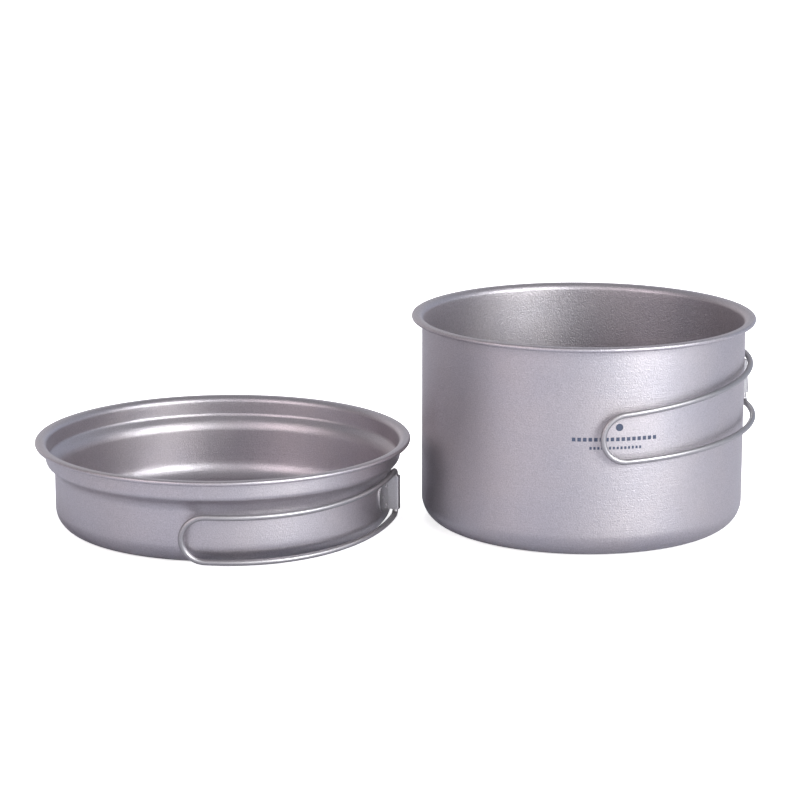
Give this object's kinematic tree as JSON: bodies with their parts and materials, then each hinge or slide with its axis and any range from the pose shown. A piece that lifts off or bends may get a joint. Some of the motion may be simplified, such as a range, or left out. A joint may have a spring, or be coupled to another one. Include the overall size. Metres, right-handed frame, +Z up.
{
  "type": "cooking pot set",
  "caption": "Camping cookset in thin sheet titanium: a deep pot and a stepped shallow pan that turns over as its lid, each with a folding wire handle.",
  "frame": {"origin": "middle of the underside of the pot's base", "axes": "+Z up along the pot's axis; the pan stands beside the pot towards -X, and both vessels' axes lie in the X-Z plane"},
  "size_m": [0.3005, 0.1562, 0.0872],
  "materials": {
    "sheet": "sand-blasted titanium sheet, fine even grain, satin grey with a slight warm tint",
    "bracket": "pressed titanium sheet, satin grey",
    "weld": "bright spot-weld marks in titanium",
    "wire": "drawn titanium wire, smooth satin grey"
  },
  "bodies": {
    "pot": {"pot_shell": "sheet", "pot_bracket": "bracket", "pot_spot_welds": "weld"},
    "pot_handle": {"pot_handle": "wire"},
    "pan": {"pan_shell": "sheet", "pan_bracket": "bracket", "pan_spot_welds": "weld"},
    "pan_handle": {"pan_handle": "wire"}
  },
  "joints": [
    {"name": "pot_handle_fold", "type": "hinge", "parent": "pot", "child": "pot_handle", "pos_m": [0.06913, 0.01219, 0.0575], "axis": [-0.0721, -0.0127, 0.9973], "range_deg": [0, 95]},
    {"name": "pan_to_lid", "type": "hinge", "parent": "pot", "child": "pan", "pos_m": [-0.075, 0, 0.05664], "axis": [0, 1, 0], "range_deg": [0, 180]},
    {"name": "pan_handle_fold", "type": "hinge", "parent": "pan", "child": "pan_handle", "pos_m": [-0.07882, -0.01749, 0.0161], "axis": [0, 0, 1], "range_deg": [0, 70]}
  ]
}
